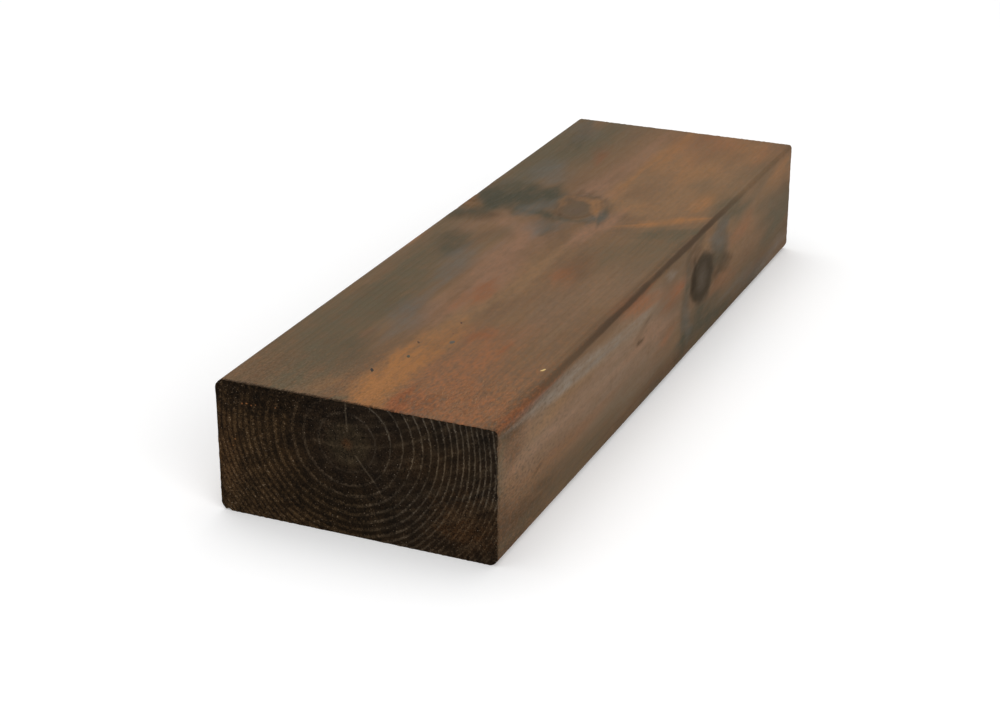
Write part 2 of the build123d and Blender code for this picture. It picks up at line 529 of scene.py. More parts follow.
# %% Cut the skin
end_depth = add(body, "ShaderNodeMath", [end_depth, on_end], operation="MULTIPLY")
side_depth = add(body, "ShaderNodeMath", [side_depth, on_side], operation="MULTIPLY")
end_way = add(body, "ShaderNodeVectorMath", [side_of, (0, -1, 0)], operation="MULTIPLY")
end_cut = add(body, "ShaderNodeVectorMath", {"Vector": end_way, "Scale": end_depth}, operation="SCALE")
side_way = add(body, "ShaderNodeVectorMath", [outward, (-1, 0, -1)], operation="MULTIPLY")
side_cut = {"Vector": side_way, "Scale": side_depth}
side_cut = add(body, "ShaderNodeVectorMath", side_cut, operation="SCALE")
placed = add(body, "ShaderNodeVectorMath", [placed, end_cut], operation="ADD")
placed = add(body, "ShaderNodeVectorMath", [placed, side_cut], operation="ADD")

# %% [markdown]
# The tree ends by shrinking millimetres to metres and giving the sides and the sawn ends their two
# materials. Instances would be dropped when the model is handed on, so everything is made real.

# %% Finish the body's tree
planed, planed_tree, planed_surface = plain_material("planed_treated_softwood")
sawn, sawn_tree, sawn_surface = plain_material("sawn_softwood_end_grain")

shaped = add(body, "GeometryNodeSetPosition", {"Geometry": rimmed, "Position": placed})
smooth = add(body, "GeometryNodeSetShadeSmooth", [shaped])
shrunk = {"Geometry": smooth, "Scale": (MM, MM, MM)}
shrunk = add(body, "GeometryNodeTransform", shrunk)
finished = add(body, "GeometryNodeRealizeInstances", [shrunk])
finished = add(body, "GeometryNodeSetMaterial", {"Geometry": finished, "Material": planed})
ends = add(body, "GeometryNodeInputNamedAttribute", ["end_grain"], data_type="BOOLEAN")
finished = {"Geometry": finished, "Selection": ends, "Material": sawn}
finished = add(body, "GeometryNodeSetMaterial", finished)
add(body, "NodeGroupOutput", [finished])
print("nodes in the body's tree", len(body.nodes))


# %% [markdown]
# The tree becomes a plain mesh: an empty object carries it as a modifier, its result is copied,
# and the object that carried it is thrown away.

# %% From tree to mesh
def grow_mesh(name, tree, sizes):
    """Runs a Geometry Nodes tree with the given sizes, and keeps the result as a plain mesh."""
    carrier = bpy.data.objects.new("carrier", bpy.data.meshes.new("carrier"))
    bpy.context.scene.collection.objects.link(carrier)
    modifier = carrier.modifiers.new(name, "NODES")
    modifier.node_group = tree
    for socket in tree.interface.items_tree:
        if socket.in_out == "INPUT":
            modifier[socket.identifier] = sizes[socket.name]
    seen = carrier.evaluated_get(bpy.context.evaluated_depsgraph_get())
    mesh = bpy.data.meshes.new_from_object(seen)
    mesh.name = name
    bpy.data.objects.remove(carrier)
    made = bpy.data.objects.new(name, mesh)
    bpy.context.scene.collection.objects.link(made)
    triangles = sum(len(face.vertices) - 2 for face in mesh.polygons)
    print(name, len(mesh.vertices), "points", triangles, "triangles")
    return made


timber = grow_mesh("timber_body", body, body_sizes)
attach(timber, "root")
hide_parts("timber")

# %% [markdown]
# ## Stains, and painted shade
# The preservative went in unevenly. Resin-rich wood stayed honey coloured, some places went rusty,
# and where the wood was damp or the grain stood on end it turned grey and green. No noise would put
# these in their places, so they are painted, like weights, on the points of the mesh. Each one is a
# soft lens of wood, given by its middle, its half width and half length, and its turn away from the
# grain, so it goes on round an arris as a real stain does.
# A few long umber lenses low on the right face are not stain but painted shade along its bottom edge.

# %% Stains, and painted shade, on the faces in view
faces = {
    # where a face's points are read from, its direction across, and its direction outwards
    "top": (lambda across, along: on_stick(across, along, 0), (1, 0, 0), (0, 0, 1)),
    "right": (lambda down, along: on_stick(width, along, down), (0, 0, -1), (1, 0, 0)),
    "left": (lambda down, along: on_stick(0, along, down), (0, 0, -1), (-1, 0, 0)),
    "under": (lambda across, along: on_stick(across, along, thickness), (1, 0, 0), (0, 0, -1)),
}
stains_and_painted_shade = {
    # face, across, along, half width, half length, turn from the grain in degrees, strength
    "tan": [
        ("top", 70, 252, 25, 54, 0, 0.9),
        ("top", 62, 203, 11, 8, 0, 0.8),
        ("top", 82, 152, 12, 30, 0, 0.35),
        ("top", 50.5, 104, 7, 38, 0, 0.85),
        ("top", 50, 226, 5, 17, 0, 0.6),
        ("right", 9, 262, 8, 36, 0, 0.7),
        ("right", 11, 45, 3.5, 28, 0, 0.8),
        ("right", 10, 108, 3, 30, 0, 0.8),
        ("right", 7.5, 191, 2.4, 6, 20, 0.8),
    ],
    "fawn": [
        ("right", 15, 100, 9, 60, 0, 0.75),
        ("right", 27, 125, 9, 40, 0, 0.5),
        ("right", 14, 20, 8, 24, 0, 0.4),
        ("top", 80, 110, 12, 40, 0, 0.3),
        ("top", 72, 0.2, 26, 1.2, 0, 0.7),
        ("top", 12, 0.2, 14, 1.0, 0, 0.5),
    ],
    "pink": [
        ("top", 41, 122, 8, 38, 0, 0.9),
        ("top", 30, 166, 5.5, 15, -40, 0.65),
        ("top", 14, 160, 8, 7, -30, 0.5),
        ("top", 58, 174, 4.5, 17, 0, 0.85),
        ("top", 43, 248, 5, 38, 0, 0.6),
        ("top", 42, 214, 8, 10, 0, 0.6),
        ("top", 1.0, 130, 3.5, 16, 0, 0.5),
        ("top", 38, 78, 4, 16, 0, 0.5),
        ("right", 19, 66, 6, 50, 0, 0.4),
        ("right", 20, 135, 5, 22, 0, 0.5),
    ],
    "copper": [
        ("top", 75, 18, 20, 34, 0, 0.75),
        ("top", 64, 60, 10, 14, 0, 0.4),
        ("top", 78, 92, 7, 26, 0, 0.15),
        ("top", 67, 130, 7, 14, -10, 0.45),
        ("top", 45, 95, 5, 13, 0, 0.6),
        ("top", 8, 100, 4, 30, 0, 0.3),
        ("top", 66, 292, 9, 9, 0, 0.6),
        ("top", 60, 281, 14, 20, 0, 0.35),
        ("top", 90, 285, 5, 18, 0, 0.4),
        ("right", 36, 14, 7, 22, 0, 0.4),
        ("right", 27, 60, 3, 40, 0, 0.3),
        ("right", 13, 156, 4, 13, 0, 0.8),
        ("right", 27, 150, 2.5, 8, 0, 0.6),
        ("right", 33, 130, 4, 12, 0, 0.2),
        ("right", 15, 236, 4.5, 14, 0, 0.5),
        ("right", 29, 213, 4, 14, 0, 0.7),
        ("right", 4.2, 118, 3.8, 18, 7, 0.8),
    ],
    "honey": [
        ("top", 49.8, 8, 7.2, 20, 0, 1.0),
        ("top", 48.6, 32, 5.6, 19, -2, 0.9),
        ("top", 52.8, 38, 3.2, 20, 0, 0.65),
        ("top", 48, 60, 5.5, 14, -2, 0.35),
        ("top", 52, 272, 4, 30, 0, 0.5),
        ("top", 78, 286, 14, 16, 0, 0.35),
        ("top", 80.5, 191, 3.4, 15, 55, 0.7),
        ("top", 86, 221, 5.5, 13, 12, 0.5),
        ("top", 70, 252, 12, 18, 0, 0.3),
        ("top", 33, 10, 4, 6, 0, 0.4),
        ("top", 64, 201, 8, 6, 0, 0.2),
        ("top", 50, 216, 4, 12, 0, 0.3),
        ("top", 1.2, 138, 2.0, 10, 0, 0.5),
        ("top", 6.0, 183, 1.8, 6, -42, 0.5),
        ("right", 8, 280, 5, 18, 0, 0.45),
    ],
    "umber": [
        ("top", 19, 80, 11, 12, 0, 0.5),
        ("top", 25, 34, 7, 14, 0, 0.5),
        ("top", 12, 30, 13, 44, 0, 0.3),
        ("top", 62, 6, 9, 9, 0, 0.3),
        ("top", 10, 170, 9, 7, 0, 0.75),
        ("top", 66, 133, 6, 13, 0, 0.4),
        ("top", 64, 282, 16, 18, 0, 0.25),
        ("right", 2.5, 18, 4, 22, 0, 0.6),
        ("top", 94, 110, 2.4, 90, 0, 0.5),
        # painted shade: a long dark strip along the bottom edge of the right face
        ("right", 41, 70, 8, 110, 0, 0.5),
        ("right", 30, 2, 14, 5, 0, 0.6),
        ("right", 37, 14, 9, 22, 0, 0.8),
        ("right", 18.3, 120.5, 1.2, 3.2, 20, 0.8),
        ("right", 14.3, 126, 1.3, 7, -8, 0.45),
        ("right", 26, 31.5, 0.7, 4, -15, 0.6),
        ("right", 34, 41, 0.6, 4, 2, 0.5),
        ("right", 9, 174, 5, 5, 0, 0.5),
        ("right", 5.5, 180, 4, 7, 0, 0.5),
        ("right", 20, 209, 5.5, 11, 20, 0.8),
        # painted shade along the bottom edge of the right face
        ("right", 44, 145, 6, 75, 0, 0.6),
        ("right", 41, 171, 5, 11, 0, 0.5),
        ("right", 14, 152, 10, 12, 0, 0.35),
        ("right", 7, 7, 8, 11, 0, 0.6),
        ("right", 20, 294, 14, 8, 0, 0.35),
        # painted shade along the bottom edge of the right face
        ("right", 38, 250, 9, 60, 0, 0.4),
        ("right", 8.5, 70, 0.8, 34, 5, 0.6),
    ],
    "rust": [
        ("top", 60, 5, 3.4, 11, 0, 0.9),
        ("top", 67, 8, 6, 9, 0, 0.5),
        ("top", 26.5, 52, 2.5, 4, 0, 0.5),
        ("top", 26, 17.5, 1.8, 3.5, 0, 0.6),
        ("top", 61, 64, 4, 6, 0, 0.5),
        ("top", 64, 124, 4, 6, 0, 0.35),
        ("top", 46, 100, 3.4, 9, 0, 0.4),
        ("top", 27, 259, 3.6, 11, -10, 0.7),
        ("top", 72.5, 57, 1, 5, 0, 0.6),
        ("right", 0.8, 16, 2.0, 22, 0, 0.75),
        ("right", 1.5, 118, 1.8, 13, 0, 0.5),
        ("right", 13, 160, 2, 7, 0, 0.4),
        ("right", 15, 240, 3, 8, 0, 0.2),
    ],
    "grey_olive": [
        ("top", 16, 40, 15, 56, 0, 0.75),
        ("top", 17, 108, 12, 44, 0, 0.75),
        ("top", 13, 256, 17, 54, 0, 0.95),
        ("top", 42, 2, 2.5, 2.5, 0, 0.8),
        ("top", 79, 158, 14, 22, 0, 0.6),
        ("top", 82, 178, 4.5, 13, 60, 0.8),
        ("top", 80, 232, 7, 10, 0, 0.4),
        ("top", 93, 210, 3, 10, 0, 0.6),
        ("top", 86, 138, 7, 14, 0, 0.25),
        ("top", 90, 180, 5, 9, 0, 0.6),
        ("top", 91, 262, 5, 30, 0, 0.35),
        ("right", 24, 282, 9, 22, 0, 0.9),
        ("right", 36, 205, 8, 40, 0, 0.45),
        ("right", 37, 80, 7, 60, 0, 0.4),
        ("right", 14, 2, 10, 5, 0, 0.6),
        ("right", 4, 226, 6, 15, 0, 0.8),
        ("right", 10, 264, 8, 18, 0, 0.4),
        ("top", 2, 156, 6, 12, 0, 0.5),
        ("top", 1, 212, 5, 14, 0, 0.4),
    ],
    "green_grey": [
        ("top", 30, 38, 6, 14, 0, 0.3),
        ("top", 17, 140, 7, 12, 0, 0.6),
        ("top", 14, 193, 13, 12, 0, 1.0),
        ("top", 4, 171, 6, 6, 0, 0.6),
        ("top", 27, 197, 7, 12, 0, 0.8),
        ("top", 14, 205, 12, 7, 0, 0.5),
        ("top", 36, 180, 11, 4.0, 0, 0.75),
        ("top", 41, 169, 4.0, 8, 0, 0.5),
        ("top", 54.8, 188.5, 2.3, 10, -14, 0.75),
        ("top", 53.0, 183, 4.0, 5.5, 0, 0.5),
        ("top", 28, 187, 7, 9, 0, 0.45),
        ("top", 11, 276, 4.0, 22, -10, 0.5),
        ("right", 22, 169, 17, 5.0, 0, 0.6),
        ("right", 9, 207, 7, 8, 20, 0.45),
        ("right", 17, 208, 5, 10, 10, 0.6),
        ("right", 36, 192, 8, 22, 0, 0.7),
    ],
    "blue_grey": [
        ("top", 32, 70, 6.5, 18, 0, 0.5),
        ("top", 27, 122, 6.0, 18, 0, 0.5),
        ("top", 41, 167, 6.5, 9, 0, 0.5),
        ("top", 29, 187, 6, 10, 0, 0.5),
        ("top", 54, 185, 3.6, 7, -10, 0.5),
        ("top", 16, 226, 9, 14, 0, 0.55),
        ("top", 10, 284, 8, 14, 0, 0.3),
        ("right", 4.0, 40, 1.8, 22, 6, 0.4),
        ("right", 9, 208, 6, 10, 8, 0.55),
        ("right", 30, 171, 8, 5, 0, 0.4),
        ("right", 38, 250, 4, 30, 0, 0.4),
    ],
    "pale_grey": [
        ("right", 5.8, 54, 2.8, 33, 4, 0.62),
        ("right", 8.8, 62, 1.4, 26, 5, 0.5),
        ("right", 9.8, 98, 2.0, 20, 2, 0.5),
        ("right", 10, 124, 1.5, 6, 0, 0.5),
        ("right", 5, 152, 1.8, 5, 8, 0.5),
        ("right", 34, 118, 5, 30, 0, 0.15),
        ("right", 40, 280, 5, 20, 0, 0.3),
    ],
    "resin_ring": [
        ("top", 35.6, 196, 2.0, 5.5, -6, 0.3),
        ("top", 42, 202.5, 6.5, 2.8, 0, 0.3),
        ("top", 50.6, 193.5, 2.2, 7.0, -22, 0.55),
        ("top", 47.2, 201, 2.4, 3.5, -35, 0.4),
        ("left", 4.0, 192, 4, 5, 0, 0.6),
    ],
    "bark": [
        ("top", 38.8, 183.2, 1.6, 3.6, -25, 0.3),
        ("right", 17.0, 177.5, 7, 2.8, 0, 0.7),
        ("left", 3.5, 184, 5, 2.5, 0, 0.6),
    ],
}

# %% [markdown]
# The other faces had the same treatment, so they get the same kinds of stain, strewn with a fixed
# seed and drawn out along the grain. The last two kinds, resin and bark, belong to the knots, so they
# stay where they are.

# %% Stains on the faces out of view
strewn = np.random.default_rng(1995)
for kind in list(stains_and_painted_shade)[:-2]:
    for face, across_size in (("left", thickness), ("under", width)):
        for _ in range(int(across_size / 9)):
            spot_across = strewn.uniform(0, across_size)
            spot_along = strewn.uniform(0, length)
            spread = strewn.uniform(2.0, 7.0)
            reach_along = spread * strewn.uniform(2.5, 7.0)
            lean = strewn.uniform(-8, 8)
            strength = strewn.uniform(0.25, 0.65)
            stains_and_painted_shade[kind].append((face, spot_across, spot_along, spread, reach_along, lean, strength))
print({kind: len(places) for kind, places in stains_and_painted_shade.items()})

# %% [markdown]
# Each stain is worked out for all the points at once, and a kind's stains are laid over each other
# the way glazes are. Each kind becomes an attribute of the mesh, which the material reads by name.

# %% Paint the stains on the mesh
points = np.empty(len(timber.data.vertices) * 3)
timber.data.vertices.foreach_get("co", points)
points = points.reshape(-1, 3) / MM
for kind, places in stains_and_painted_shade.items():
    clean = np.ones(len(points))
    for number, (face, across, along, spread, reach_along, lean, strength) in enumerate(places):
        middle, across_way, out_way = faces[face]
        offset = points - np.array(middle(across, along))
        sideways = offset @ np.array(across_way)
        forward = offset[:, 1]
        deep = offset @ np.array(out_way) / spread
        turned = math.radians(lean)
        u = (sideways * math.cos(turned) - forward * math.sin(turned)) / spread
        v = (forward * math.cos(turned) + sideways * math.sin(turned)) / reach_along
        # a wavy outline, more so along the grain, where the stain runs out in tongues
        wavy_u = u + 0.22 * np.sin(2.3 * v + number) + 0.10 * np.sin(5.1 * v - number)
        wavy_v = v + 0.30 * np.sin(2.9 * u + number) + 0.22 * np.sin(6.7 * u - 2 * number)
        far = wavy_u**2 + wavy_v**2 + deep**2
        clean *= 1 - min(strength, 1) * np.exp(-0.7 * far**1.4)
    layer = timber.data.attributes.new(kind, "FLOAT", "POINT")
    layer.data.foreach_set("value", 1 - clean)
print("points painted", len(points))

# %% [markdown]
# ## The planed faces: softwood, planed, pressure treated brown
# Planed softwood is silky, with fine straight fibres, so it is matt with a faint sheen. The fibres
# are about 0.03 mm wide. That is too fine to show, so they are drawn in bundles of 0.3 mm by 6 mm.
# The colour starts as the brown of treated sapwood. Over it go the painted stains, with painted shade
# along the bottom of the right face among them, the flecks, the dark arrises and the knots. Then rings
# and fibres make all of it lighter or darker, and the soaked rim comes last.

# %% Planed faces: patterns
def mm_place(tree):
    """The object's own coordinates in millimetres."""
    metres = add(tree, "ShaderNodeTexCoord").outputs["Object"]
    return add(tree, "ShaderNodeVectorMath", {"Vector": metres, "Scale": 1 / MM}, operation="SCALE")


def grain_noise(tree, place, across, along, detail):
    """Noise from about -1 to 1, in streaks of the given width and length in millimetres."""
    ways = (1 / across, 1 / along, 1 / across)
    squeezed = add(tree, "ShaderNodeVectorMath", [place, ways], operation="MULTIPLY")
    texture = add(tree, "ShaderNodeTexNoise", {"Vector": squeezed, "Scale": 1.0, "Detail": detail})
    return add(tree, "ShaderNodeMath", [texture, 4.0, -2.0], operation="MULTIPLY_ADD")


tree = planed_tree
place = mm_place(tree)
age, _, _ = grow(tree, place)
fibre = grain_noise(tree, place, 0.30, 6, 2.0)
streak = grain_noise(tree, place, 1.6, 30, 3.0)
cloud = grain_noise(tree, place, 9, 26, 3.0)
patch = grain_noise(tree, place, 3.0, 8, 4.0)
fleck = grain_noise(tree, place, 0.95, 2.4, 3.0)
grit = grain_noise(tree, place, 0.46, 1.2, 2.0)

# %% [markdown]
# Each year's ring took the treatment a little differently, so it gets its own tone, and its summer
# wood shows as a fine darker line, clear in some places and lost in others.

# %% Planed faces: rings
warm = {"Value": cloud, "From Min": -1.0, "From Max": 1.0}
warm = add(tree, "ShaderNodeMapRange", warm)
colour = {"Factor": warm, "A": linear("#68503a"), "B": linear("#73583d")}
colour = add(tree, "ShaderNodeMix", colour, data_type="RGBA")
late = latewood(tree, age, 0.30)
year = add(tree, "ShaderNodeMath", [age, 0.5], operation="ADD")
year = add(tree, "ShaderNodeMath", [year], operation="FLOOR")
year = add(tree, "ShaderNodeTexWhiteNoise", {"W": year}, noise_dimensions="1D").outputs["Value"]
shown = {"Value": cloud, "From Min": -0.6, "From Max": 1.0, "To Min": 0.01, "To Max": 0.08}
shown = add(tree, "ShaderNodeMapRange", shown)
line = add(tree, "ShaderNodeMath", [late, shown], operation="MULTIPLY")

# %% [markdown]
# The four arrises were rounded by a cutter that bruised the fibres, and took up more of the
# treatment, so they run dark for a millimetre or two to each side. The distance from the sharp
# corner that was there before gives that band. Three patterns let it wander, and it is weak near
# both ends.

# %% Planed faces: arrises
split = add(tree, "ShaderNodeSeparateXYZ", [place])
x_size = add(tree, "ShaderNodeMath", [split.outputs["X"]], operation="ABSOLUTE")
x_depth = add(tree, "ShaderNodeMath", [width / 2, x_size], operation="SUBTRACT")
z_size = add(tree, "ShaderNodeMath", [split.outputs["Z"], thickness / 2], operation="SUBTRACT")
z_size = add(tree, "ShaderNodeMath", [z_size], operation="ABSOLUTE")
z_depth = add(tree, "ShaderNodeMath", [thickness / 2, z_size], operation="SUBTRACT")
corner = add(tree, "ShaderNodeCombineXYZ", {"X": x_depth, "Y": z_depth})
corner = add(tree, "ShaderNodeVectorMath", [corner], operation="LENGTH")
for pattern, wander in ((patch, 0.26), (streak, 0.16), (cloud, 0.30)):
    corner = add(tree, "ShaderNodeMath", [pattern, wander, corner], operation="MULTIPLY_ADD")
corner = {"Value": corner, "From Min": 0.9, "From Max": 2.0, "To Min": 1.0, "To Max": 0.0}
corner = add(tree, "ShaderNodeMapRange", corner, interpolation_type="SMOOTHSTEP")
faded = {"Value": split.outputs["Y"], "From Min": 45, "From Max": 90, "To Min": 1.0, "To Max": 0.3}
faded = add(tree, "ShaderNodeMapRange", faded)
started = {"Value": split.outputs["Y"], "From Min": -130, "From Max": -50, "To Min": 0.25, "To Max": 0.9}
started = add(tree, "ShaderNodeMapRange", started)
arris_tone = add(tree, "ShaderNodeMath", [corner, faded], operation="MULTIPLY")
arris_tone = add(tree, "ShaderNodeMath", [arris_tone, started], operation="MULTIPLY")

# %% [markdown]
# A painted stain has a soft edge, and a real one runs out along the fibres. So three patterns tear
# the edge. The photograph shows the far half softer, so a value called calm makes the torn edges
# weaker there, and later the fibres too.

# %% Planed faces: stains, and painted shade
calm = {"Value": split.outputs["Y"], "From Min": -90, "From Max": 70, "To Min": 1.0, "To Max": 0.55}
calm = add(tree, "ShaderNodeMapRange", calm)
stain_and_shade_colours = {
    "tan": "#7e6042",
    "fawn": "#786450",
    "pink": "#826149",
    "copper": "#815638",
    "honey": "#96663a",
    # umber is a stain, and also the painted shade along the bottom of the right face
    "umber": "#4e3c2a",
    "rust": "#7c4a2c",
    "grey_olive": "#584e3b",
    "green_grey": "#434134",
    "blue_grey": "#5c5850",
    "pale_grey": "#7b6f61",
}
ragged = 0.0
for pattern, weight in ((streak, 0.22), (patch, 0.40), (fleck, 0.28)):
    ragged = add(tree, "ShaderNodeMath", [pattern, weight, ragged], operation="MULTIPLY_ADD")
ragged = add(tree, "ShaderNodeMath", [ragged, calm, 1.0], operation="MULTIPLY_ADD")


def stained(colour, kind, shade):
    """Lays one painted kind over a colour, with a ragged edge: a stain, and in the umber kind painted shade
    too.
    """
    painted = add(tree, "ShaderNodeAttribute", attribute_name=kind).outputs["Fac"]
    amount = add(tree, "ShaderNodeMath", [painted, ragged], operation="MULTIPLY")
    amount = {"Value": amount, "From Min": 0.08, "From Max": 0.92, "To Max": 0.96}
    amount = add(tree, "ShaderNodeMapRange", amount)
    colour = {"Factor": amount, "A": colour, "B": linear(shade)}
    return add(tree, "ShaderNodeMix", colour, data_type="RGBA")


for kind, shade in stain_and_shade_colours.items():
    colour = stained(colour, kind, shade)

# %% [markdown]
# Close by, the surface is a mixture of tiny flecks, russet where resin came up and grey where the
# cut ends of fibres hold dirt. They are strongest at the near end to the right, where the planer
# plucked the wood, and weak in honey coloured wood, which is so full of resin that it planes clean.
# The russet ones hardly show on the narrow faces. The bruised arrises are smooth, so their dark
# tone goes over the flecks.

# %% Planed faces: flecks
plucked = {"Value": split.outputs["Y"], "From Min": -150, "From Max": -70, "To Min": 1.0, "To Max": 0.25}
plucked = add(tree, "ShaderNodeMapRange", plucked, interpolation_type="SMOOTHSTEP")
to_right = {"Value": split.outputs["X"], "From Min": -20, "From Max": 12, "To Min": 0.3, "To Max": 1.0}
to_right = add(tree, "ShaderNodeMapRange", to_right, interpolation_type="SMOOTHSTEP")
plucked = add(tree, "ShaderNodeMath", [plucked, to_right], operation="MULTIPLY")
resin_rich = add(tree, "ShaderNodeAttribute", attribute_name="honey").outputs["Fac"]
resin_rich = add(tree, "ShaderNodeMapRange", {"Value": resin_rich, "To Min": 1.0, "To Max": 0.3})
plucked = add(tree, "ShaderNodeMath", [plucked, resin_rich], operation="MULTIPLY")
wide_face = {"Value": z_depth, "From Min": 1.0, "From Max": 3.0, "To Min": 1.0, "To Max": 0.25}
wide_face = add(tree, "ShaderNodeMapRange", wide_face)
russet = {"Value": fleck, "From Min": 0.10, "From Max": 0.75, "To Max": 0.65}
russet = add(tree, "ShaderNodeMapRange", russet)
russet = add(tree, "ShaderNodeMath", [russet, plucked], operation="MULTIPLY")
russet = add(tree, "ShaderNodeMath", [russet, wide_face], operation="MULTIPLY")
dusty = {"Value": fleck, "From Min": -0.10, "From Max": -0.75, "To Max": 0.60}
dusty = add(tree, "ShaderNodeMapRange", dusty)
dusty = add(tree, "ShaderNodeMath", [dusty, plucked], operation="MULTIPLY")
for amount, shade in ((russet, "#955d36"), (dusty, "#564a3d"), (arris_tone, "#47382b")):
    colour = {"Factor": amount, "A": colour, "B": linear(shade)}
    colour = add(tree, "ShaderNodeMix", colour, data_type="RGBA")

# %% [markdown]
# A knot is a sawn branch, so it has rings of its own round its own middle. Each one took the
# treatment differently: the one on top has a grey-brown heart in a collar that is hardly browner,
# and the one on the right face is nearly black round a greyer heart. Two of the painted kinds go
# over the knots: amber resin, most of it at the far side of the first, and scraps of dark bark.

# %% Planed faces: knots
knot_rings = [
    # for each branch: colours from the heart out, by share of the radius, and how much they cover
    ([(0.0, "#544639"), (0.55, "#564837"), (0.72, "#5c4936"), (0.90, "#594735")], 0.8),
    ([(0.0, "#4c3f2f"), (0.45, "#57452f"), (0.70, "#785535"), (0.90, "#5f4a33")], 0.8),
    ([(0.05, "#4c4236"), (0.40, "#43392d"), (0.66, "#393024"), (0.92, "#413628")], 0.95),
    ([(0.05, "#54493a"), (0.36, "#44372a"), (0.60, "#33281c"), (0.92, "#3f3224")], 0.9),
]
for (start, end, size), (rings, cover) in zip(branches, knot_rings):
    share = branch_share(tree, place, start, end, size)
    share = add(tree, "ShaderNodeMath", [patch, 0.11, share], operation="MULTIPLY_ADD")
    ramp = add(tree, "ShaderNodeValToRGB", [share])
    for _ in rings[2:]:
        ramp.color_ramp.elements.new(0.5)
    for stop, (reach_out, shade) in zip(ramp.color_ramp.elements, rings):
        stop.position = reach_out
        stop.color = linear(shade)
    covered = {"Value": share, "From Min": 0.82, "From Max": 1.20, "To Min": cover, "To Max": 0.0}
    covered = add(tree, "ShaderNodeMapRange", covered, interpolation_type="SMOOTHSTEP")
    colour = {"Factor": covered, "A": colour, "B": ramp.outputs["Color"]}
    colour = add(tree, "ShaderNodeMix", colour, data_type="RGBA")
colour = stained(colour, "resin_ring", "#93663c")
colour = stained(colour, "bark", "#31271c")

# %% [markdown]
# Fibres, streaks and the years' tones are differences in brightness, not in hue, so they are summed
# up and multiply the colour. The summer wood's lines are taken off the sum. The first 50 mm are
# gritty with broken fibres, and the plucked narrow face shows light and dark wrinkles in place of
# the russet flecks.

# %% Planed faces: fibres
fine = 0.0
for pattern, strength in ((fibre, 0.05), (streak, 0.025), (patch, 0.03), (year, 0.08)):
    fine = add(tree, "ShaderNodeMath", [pattern, strength, fine], operation="MULTIPLY_ADD")
fine = add(tree, "ShaderNodeMath", [fine, line], operation="SUBTRACT")
gritty = {"Value": split.outputs["Y"], "From Min": -150, "From Max": -100, "To Min": 0.24, "To Max": 0.02}
gritty = add(tree, "ShaderNodeMapRange", gritty, interpolation_type="SMOOTHSTEP")
wrinkled = add(tree, "ShaderNodeMath", [1, wide_face], operation="SUBTRACT")
wrinkled = add(tree, "ShaderNodeMath", [wrinkled, plucked], operation="MULTIPLY")
wrinkled = add(tree, "ShaderNodeMath", [wrinkled, fleck], operation="MULTIPLY")
bright = 0.94
for pattern, strength in ((grit, gritty), (fine, calm), (wrinkled, 0.12)):
    bright = add(tree, "ShaderNodeMath", [pattern, strength, bright], operation="MULTIPLY_ADD")
colour = add(tree, "ShaderNodeVectorMath", {"Vector": colour, "Scale": bright}, operation="SCALE")

# %% [markdown]
# At the near end the cut tubes drank so much that the first millimetre or so of the planed faces is
# nearly as black as the end itself, more so to the left, where the saw left broken fibres.

# %% Planed faces: soaked rim
from_cut = add(tree, "ShaderNodeMath", [split.outputs["Y"], length / 2], operation="ADD")
for pattern, wander in ((patch, 0.35), (grit, 0.60)):
    from_cut = add(tree, "ShaderNodeMath", [pattern, wander, from_cut], operation="MULTIPLY_ADD")
soaked_rim = {"Value": from_cut, "From Min": 0.4, "From Max": 1.6, "To Min": 0.9, "To Max": 0.0}
soaked_rim = add(tree, "ShaderNodeMapRange", soaked_rim)
to_left = {"Value": split.outputs["X"], "From Min": 0, "From Max": 22, "To Min": 1.0, "To Max": 0.35}
to_left = add(tree, "ShaderNodeMapRange", to_left)
soaked_rim = add(tree, "ShaderNodeMath", [soaked_rim, to_left], operation="MULTIPLY")
colour = {"Factor": soaked_rim, "A": colour, "B": linear("#2a2119")}
colour = add(tree, "ShaderNodeMix", colour, data_type="RGBA")

# %% [markdown]
# The bump is in real hundredths of a millimetre. Dark, soaked wood has open pores and hardly
# shines, so the sheen follows the colour's lightness.

# %% Planed faces: surface
plucks = add(tree, "ShaderNodeMath", [fleck, plucked], operation="MULTIPLY")
relief = 0.0
for pattern, height in ((fibre, 0.015), (streak, 0.02), (late, 0.02), (plucks, 0.03)):
    relief = add(tree, "ShaderNodeMath", [pattern, height, relief], operation="MULTIPLY_ADD")
bump = add(tree, "ShaderNodeBump", {"Strength": 1.0, "Distance": MM, "Height": relief})
rough = {"Value": fibre, "From Min": -1.0, "From Max": 1.0, "To Min": 0.58, "To Max": 0.82}
rough = add(tree, "ShaderNodeMapRange", rough)
shine = add(tree, "ShaderNodeRGBToBW", [colour])
shine = {"Value": shine, "From Min": 0.02, "From Max": 0.11, "To Min": 0.01, "To Max": 0.12}
shine = add(tree, "ShaderNodeMapRange", shine)
skin = {"Base Color": colour, "Roughness": rough, "Normal": bump, "Specular IOR Level": shine}
skin = add(tree, "ShaderNodeBsdfPrincipled", skin)
tree.links.new(skin.outputs[0], planed_surface)
print("nodes in the planed finish", len(tree.nodes))

# %% [markdown]
# ## The sawn ends: softwood cut across the grain
# End grain is a bundle of cut tubes. It soaked up the treatment and went nearly black, and only the
# dense summer wood stayed pale. It is rough and hardly shines, because the open tubes swallow light,
# so its specular level is far below that of a closed surface. The lines are thin and crisp to the
# right of the pith, and wide and browner to its left and below it. The tubes are 0.03 mm wide, too
# fine to show, so they are drawn as clusters of 0.36 mm, some torn out and some left bright.

